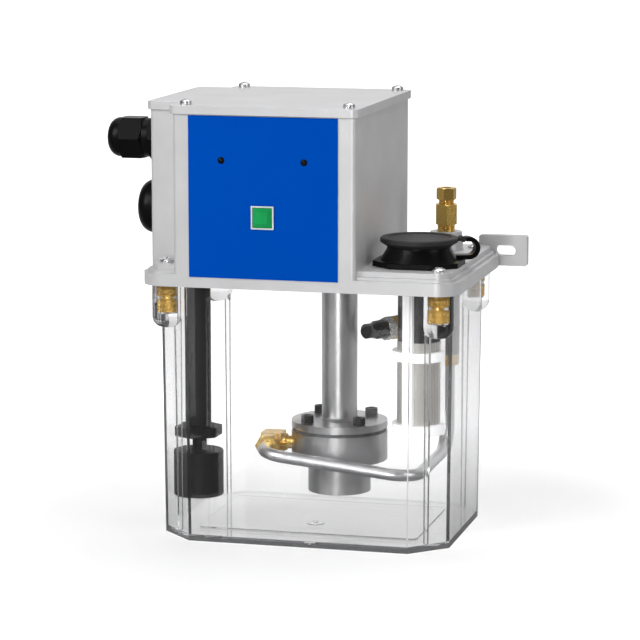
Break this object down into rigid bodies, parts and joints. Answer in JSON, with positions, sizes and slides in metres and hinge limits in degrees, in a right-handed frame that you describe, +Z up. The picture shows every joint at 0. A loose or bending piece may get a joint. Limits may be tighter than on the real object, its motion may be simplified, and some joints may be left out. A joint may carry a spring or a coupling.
{
  "type": "electric lubrication pump",
  "caption": "Electric oil lubrication pump: clear tank under a die-cast motor housing, with gear pump, level switch, strainer filler, brass outlet and cable gland.",
  "frame": {"origin": "centre of the tank's flat base, on the surface that the pump stands on", "axes": "+Z up, -Y towards the blue front panel, +X to the right seen from the front"},
  "size_m": [0.2676, 0.1604, 0.2936],
  "materials": {
    "cast_aluminium": "fine textured die-cast",
    "clear_plastic": "clear polished",
    "blue_panel": "smooth satin film",
    "black_plastic": "moulded satin",
    "black_rubber": "soft matt",
    "grey_rubber": "matt",
    "green_button": "translucent gloss",
    "pale_plastic": "gloss",
    "white_plastic": "moulded satin",
    "brass": "machined",
    "turned_steel": "turned",
    "dark_steel": "dark phosphated",
    "black_steel": "black oxide",
    "zinc_steel": "zinc plated",
    "mesh_steel": "woven wire",
    "circuit_board": "solder mask",
    "copper_winding": "enamelled"
  },
  "bodies": {
    "base": {"tank": "clear_plastic", "tank_inserts": "brass", "tank_gasket": "grey_rubber", "housing": "cast_aluminium", "lid_screws": "zinc_steel", "cover_plate": "cast_aluminium", "cover_gasket": "grey_rubber", "cover_screws": "zinc_steel", "front_panel": "blue_panel", "indicators": "black_plastic", "button_bezel": "pale_plastic", "button_switch": "black_plastic", "control_board": "circuit_board", "terminal_block": "green_button", "board_standoffs": "zinc_steel", "motor_case": "dark_steel", "motor_stator": "copper_winding", "motor_bearings": "zinc_steel", "motor_screws": "zinc_steel", "shaft_bush": "brass", "shaft_seal": "black_rubber", "stem_tube": "turned_steel", "flange_gasket": "grey_rubber", "flange_screws": "black_steel", "pump_body": "turned_steel", "idler_pin": "turned_steel", "suction_screen": "zinc_steel", "elbow_fitting": "brass", "elbow_nut": "brass", "delivery_pipe": "zinc_steel", "pipe_nut": "brass", "outlet_column": "dark_steel", "outlet_boss": "cast_aluminium", "outlet_fitting": "brass", "outlet_nut": "brass", "relief_body": "brass", "relief_locknut": "zinc_steel", "relief_cap": "black_plastic", "level_tube": "black_plastic", "level_locknut": "black_plastic", "level_hex": "black_plastic", "level_stem": "black_plastic", "float_clip": "zinc_steel", "filler_neck": "black_plastic", "filler_locknut": "black_plastic", "strainer_frame": "white_plastic", "strainer_mesh": "mesh_steel", "gland_body": "black_plastic", "gland_nut": "black_plastic", "gland_seal": "black_rubber", "entry_locknuts": "black_plastic", "blanking_plug": "black_plastic"},
    "button": {"button_cap": "green_button"},
    "cap": {"filler_cap": "black_rubber"},
    "float": {"level_float": "black_plastic"},
    "rotor": {"motor_rotor": "turned_steel", "shaft_coupling": "turned_steel", "drive_shaft": "turned_steel", "drive_gear": "turned_steel"},
    "idler": {"idler_gear": "turned_steel"}
  },
  "joints": [
    {"name": "button_press", "type": "slide", "parent": "base", "child": "button", "axis": [0, 1, 0], "range_m": [0, 0.002], "stiffness_N_per_m": 500},
    {"name": "cap_hinge", "type": "hinge", "parent": "base", "child": "cap", "pos_m": [0.09819, -0.01679, 0.2014], "axis": [-0.4226, 0.9063, 0], "range_deg": [0, 100]},
    {"name": "float_rise", "type": "slide", "parent": "base", "child": "float", "axis": [0, 0, 1], "range_m": [0, 0.009]},
    {"name": "rotor_spin", "type": "hinge", "parent": "base", "child": "rotor", "pos_m": [0.0115, 0, 0.12], "axis": [0, 0, 1], "continuous": true},
    {"name": "idler_spin", "type": "hinge", "parent": "base", "child": "idler", "pos_m": [0.0115, -0.018, 0.06], "axis": [0, 0, 1], "continuous": true}
  ],
  "couplings": [
    {"joint": "idler_spin", "follows": "rotor_spin", "ratio": -1}
  ]
}
